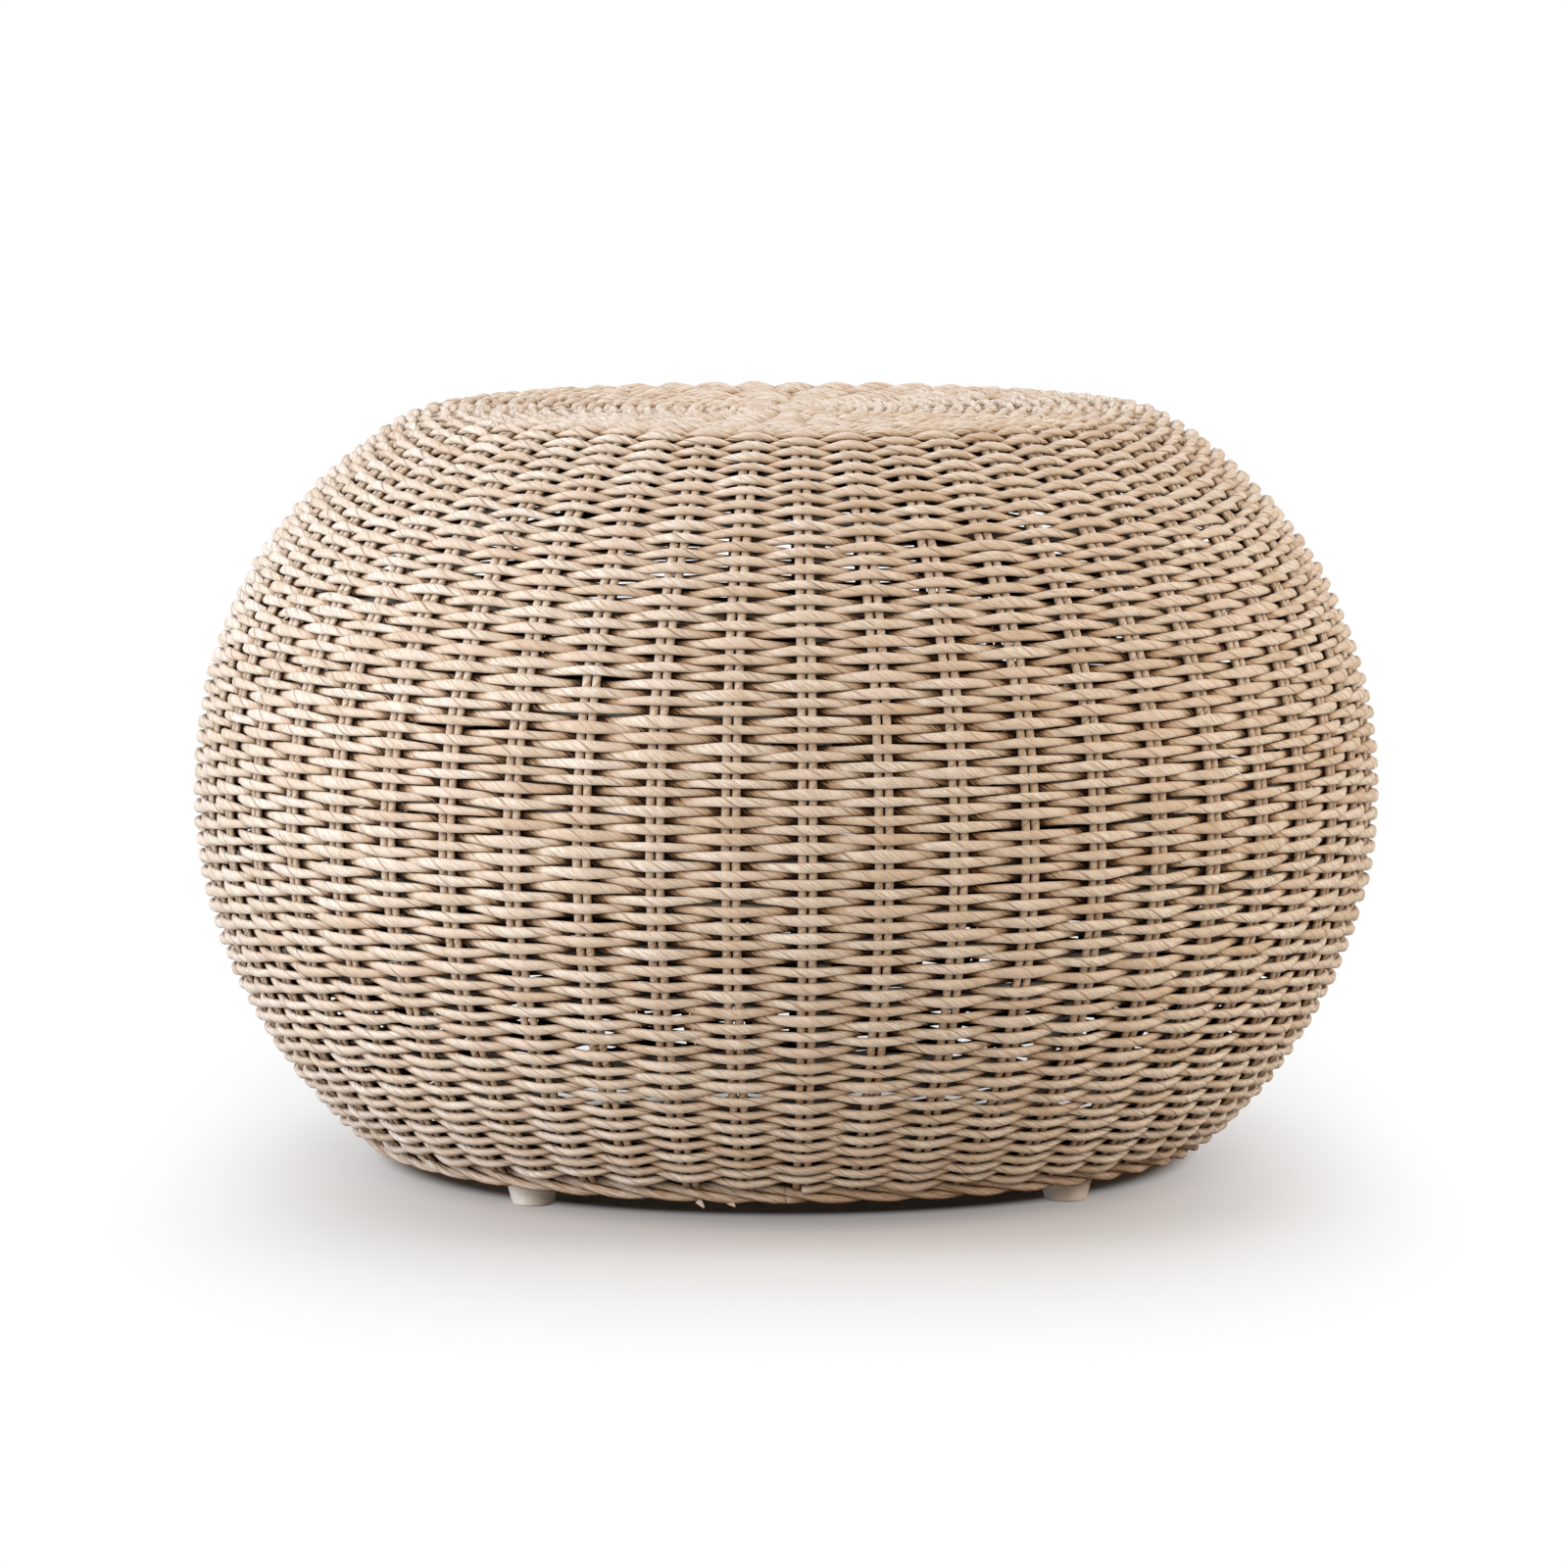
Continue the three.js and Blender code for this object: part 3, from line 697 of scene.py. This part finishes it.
def resin(name, lead, radius):
    """Resin cord with its seam wound once round in each lead."""
    made, tree = empty_material(name)
    lay = put(tree, "SeparateXYZ", {}, {0: put(tree, "UVMap", {"uv_map": "lay"}, {})[0]})
    length = lay[0]

    def patches(size, detail):
        """A pattern that changes about once in that length of cord."""
        scale = 1 / (size * MM)
        return put(tree, "TexNoise", {"noise_dimensions": "1D"},
                   {"W": length, "Scale": scale, "Detail": detail})[0]

    # The seam winds round the strand
    turn = maths(tree, "MULTIPLY_ADD", length, 1 / (lead * MM), lay[1])
    edge = maths(tree, "PINGPONG", turn, 0.5)
    seam = maths(tree, "MINIMUM", edge, maths(tree, "SUBTRACT", FOLD, edge))
    shut = ranged(tree, patches(PRESS_LENGTH, 1.0), 0.42, 0.7, 0.0, 0.85)
    width = SEAM_WIDTH / (2 * math.pi * radius)
    groove = ranged(tree, seam, 0.0, width, shut, 1.0, "SMOOTHSTEP")

    # Streaks run along it, so the pattern is wound in the same way and drawn out
    winding = maths(tree, "MULTIPLY", turn, 2 * math.pi)
    stretch = STREAK_WIDTH / STREAK_LENGTH / (radius * MM)
    place = put(tree, "CombineXYZ", {}, {
        0: maths(tree, "COSINE", winding), 1: maths(tree, "SINE", winding),
        2: maths(tree, "MULTIPLY", length, stretch),
    })[0]
    streaks = put(tree, "TexNoise", {}, {
        "Vector": place, "Scale": radius / STREAK_WIDTH, "Detail": 4.0, "Roughness": 0.6,
    })[0]
    lines = put(tree, "TexNoise", {}, {
        "Vector": place, "Scale": radius / LINE_WIDTH, "Detail": 2.0,
    })[0]
    straw = ramp(tree, streaks, STREAKS)
    for size, detail, begins, full, most, code in TONES:
        patch = ranged(tree, patches(size, detail), begins, full, 0.0, most)
        straw = blend(tree, patch, straw, colour(code))
    thin = ranged(tree, lines, 0.45, 0.36, 0.0, LINE_SHARE, "SMOOTHSTEP")
    straw = blend(tree, thin, straw, colour("8a6a4c"))
    sunk = ranged(tree, groove, 0.0, 1.0, SEAM_SHARE, 0.0)
    straw = blend(tree, sunk, straw, colour("71502f"))

    # The painted shade of the gaps, with a ragged edge
    height = put(tree, "Attribute", {"attribute_name": "height"}, {})[2]
    ragged = maths(tree, "MULTIPLY_ADD", streaks, SHADE_RAGGED, height)
    depth = ranged(tree, ragged, SHADE_FROM, SHADE_TO, ease="SMOOTHSTEP")
    shaded_straw = put(tree, "Mix", {"data_type": "RGBA", "blend_type": "MULTIPLY"},
                  {0: 1.0, 6: straw, 7: ramp(tree, depth, PAINTED_SHADE)})[2]

    relief = maths(tree, "MULTIPLY_ADD", streaks, STREAK_RELIEF, groove)
    bump = put(tree, "Bump", {}, {"Strength": 0.6, "Distance": RELIEF * MM, "Height": relief})[0]
    shader = put(tree, "BsdfPrincipled", {}, {
        "Base Color": shaded_straw, "Roughness": ranged(tree, depth, 0.3, 0.8, 0.7, 1.0),
        "IOR": 1.45, "Specular IOR Level": 0.35, "Normal": bump,
    })
    put(tree, "OutputMaterial", {}, {0: shader[0]})
    return made


weft_resin = resin("resin cord, twisted tape", LEAD, WEFT_RADIUS)
stake_resin = resin("resin cord, thin stake", CORD_LEAD, CORD_RADIUS)
rope_resin = resin("resin cord, laid in the border", ROPE_LEAD, ROPE_STRAND)
for piece in woven:
    piece.data.materials.append(weft_resin)
for name in ("border_strand_1", "border_strand_2", "border_strand_3", "tape_end_1", "tape_end_2"):
    bpy.data.objects[name].data.materials.append(rope_resin)
for name in ("stakes_right", "stakes_left"):
    bpy.data.objects[name].data.materials.clear()
    bpy.data.objects[name].data.materials.append(stake_resin)

# %% [markdown]
# ### Frame, glides and fasteners
# The aluminium frame is powder coated: sprayed with light grey powder and baked, with a fine
# orange peel. The glides are injection moulded from cream nylon. Screws and nuts are steel with
# a thin coat of zinc.

# %% Finishes of the frame


def plain(name, code, roughness, metallic, grain, depth):
    """A finish with a fine grain, on the object's own coordinates."""
    made, tree = empty_material(name)
    place = put(tree, "TexCoord", {}, {})[3]
    scale = 1 / (grain * MM)
    noise = put(tree, "TexNoise", {}, {"Vector": place, "Scale": scale, "Detail": 3.0})[0]
    shade = blend(tree, ranged(tree, noise, 0.3, 0.7, 0.0, 0.12), colour(code), colour("5c554d"))
    bump = put(tree, "Bump", {}, {"Strength": 0.5, "Distance": depth * MM, "Height": noise})[0]
    shader = put(tree, "BsdfPrincipled", {}, {
        "Base Color": shade, "Roughness": roughness, "Metallic": metallic, "Normal": bump,
    })
    put(tree, "OutputMaterial", {}, {0: shader[0]})
    return made


finishes = {
    "frame_paint": plain("powder coat, light grey", "bdb3a4", 0.45, 0.0, 0.8, 0.05),
    "glide_nylon": plain("moulded nylon, cream", "f3ece0", 0.4, 0.0, 3.0, 0.05),
    "zinc_steel": plain("zinc plated steel", "a9abad", 0.35, 1.0, 1.5, 0.02),
}
slot_of = {part["node"]: part["material_slot"] for part in frame["record"]["subparts"]}
for node, made in frame["nodes"].items():
    finish = finishes.get(slot_of[node])
    if finish:
        for slot in made.material_slots:
            slot.material = finish

for glide in glides:
    glide.data.materials.append(finishes["glide_nylon"])

# %% [markdown]
# ## The floor
# The stool stands on white studio paper. Seen by the camera it fades to pure white away from the
# stool, and keeps the warm grey shadow close to it, as in the photograph. Close to the stool the
# paper's own colour is darkened as a painted shadow: warm grey, and dark brown under the border.
# Only the camera sees the white: the light that the paper throws back on the stool is that of the
# matte paper with its painted shadow.

# %% Floor
bpy.ops.object.select_all(action="DESELECT")
bpy.ops.mesh.primitive_circle_add(vertices=96, radius=3.0, fill_type="NGON", location=(0, 0, 0))
floor = bpy.context.object
floor.name = "floor"
paper, tree = empty_material("studio paper, white")
spot = put(tree, "TexCoord", {}, {})[3]
axes = put(tree, "SeparateXYZ", {}, {0: spot})
backwards = maths(tree, "MAXIMUM", axes[1], 0.0)

# How far the shadow patch reaches: the white that the camera sees grows with it, so the outline of
# the visible shadow is painted. Its middle is 0.17 m in front of the middle of the stool, and it
# reaches further behind that than ahead of it. All these numbers are in metres.
ahead = maths(tree, "MULTIPLY_ADD", axes[1], 0.88, 0.15)
deep = maths(tree, "MULTIPLY_ADD", maths(tree, "MAXIMUM", ahead, 0.0), -0.6, ahead)
aside = maths(tree, "POWER", maths(tree, "ABSOLUTE", axes[0]), 1.65)
wide = maths(tree, "MULTIPLY", aside, 2.1)
patch = put(tree, "CombineXYZ", {}, {0: wide, 1: deep})[0]
reach = put(tree, "VectorMath", {"operation": "LENGTH"}, {0: patch})[1]

# Painted shadow: under the border, 0.23 to 0.25 m from its middle, the paper is painted dark brown,
# and next to it a painted warm grey shadow fades out. Behind the stool the brown ends sooner, where
# the back would show it.
behind = maths(tree, "MULTIPLY_ADD", backwards, 0.14, axes[1])
drawn = put(tree, "CombineXYZ", {}, {0: axes[0], 1: behind})[0]
edge = ranged(tree, distance(tree, drawn, (0, 0.035, 0)), 0.226, 0.248, ease="SMOOTHSTEP")
inside = distance(tree, spot, (0.012, 0, 0))
near = ranged(tree, inside, 0.24, 0.4, ease="SMOOTHSTEP")
painted_shadow_grey = blend(tree, near, colour("9a8a80"), colour("bab8b4"))
shade = blend(tree, edge, colour("80705f"), painted_shadow_grey)

# The share of white, for rays from the camera only
least = ranged(tree, inside, 0.21, 0.27, 0.25, 0.35, "SMOOTHSTEP")
fade = ranged(tree, reach, 0.09, 0.475, least, 1.0, "SMOOTHSTEP")
white = maths(tree, "MULTIPLY", fade, edge)
seen = maths(tree, "MULTIPLY", white, put(tree, "LightPath", {}, {})[0])
matte = put(tree, "BsdfDiffuse", {}, {0: shade})[0]
glow = put(tree, "Emission", {}, {0: (1, 1, 1, 1), 1: 1.0})[0]
mixed = put(tree, "MixShader", {}, {0: seen, 1: matte, 2: glow})[0]
put(tree, "OutputMaterial", {}, {0: mixed})
floor.data.materials.append(paper)

# %% [markdown]
# ## The light
# A large soft box on the left gives the most light. A smaller one on the right, one in front
# and one above the back fill the shadows, and the room adds a little warm light.

# %% Light
AIM = 0.22               # the lamps face this level on the stool, in metres

world = bpy.data.worlds.new("studio")
bpy.context.scene.world = world
world.use_nodes = True
tree = world.node_tree
tree.nodes.clear()
rays = put(tree, "LightPath", {}, {})[0]
room = put(tree, "Background", {}, {0: colour("fff0df"), 1: 0.12})[0]
backdrop = put(tree, "Background", {}, {0: (1, 1, 1, 1), 1: 1.0})[0]
mixed = put(tree, "MixShader", {}, {0: rays, 1: room, 2: backdrop})[0]
put(tree, "OutputWorld", {}, {0: mixed})


def lamp(name, place, size, watts, code):
    """A square soft box that faces the stool. Its place and size are in metres."""
    light = bpy.data.lights.new(name, "AREA")
    light.size, light.energy, light.color = size, watts, colour(code)[:3]
    made = bpy.data.objects.new(name, light)
    made.location = place
    toward = -made.location
    toward.z += AIM
    made.rotation_euler = toward.to_track_quat("-Z", "Y").to_euler()
    bpy.context.scene.collection.objects.link(made)


lamp("left", (-2.9, -0.9, 1.4), 3.4, 218, "eef4ff")
lamp("right", (3.0, -0.2, 1.6), 2.0, 99, "fff6ec")
lamp("front", (0.3, -4.0, 1.8), 1.6, 89, "ffeedb")
lamp("top", (0.0, 1.3, 2.7), 2.2, 58, "dfebff")
bpy.context.scene.view_settings.view_transform = "Standard"
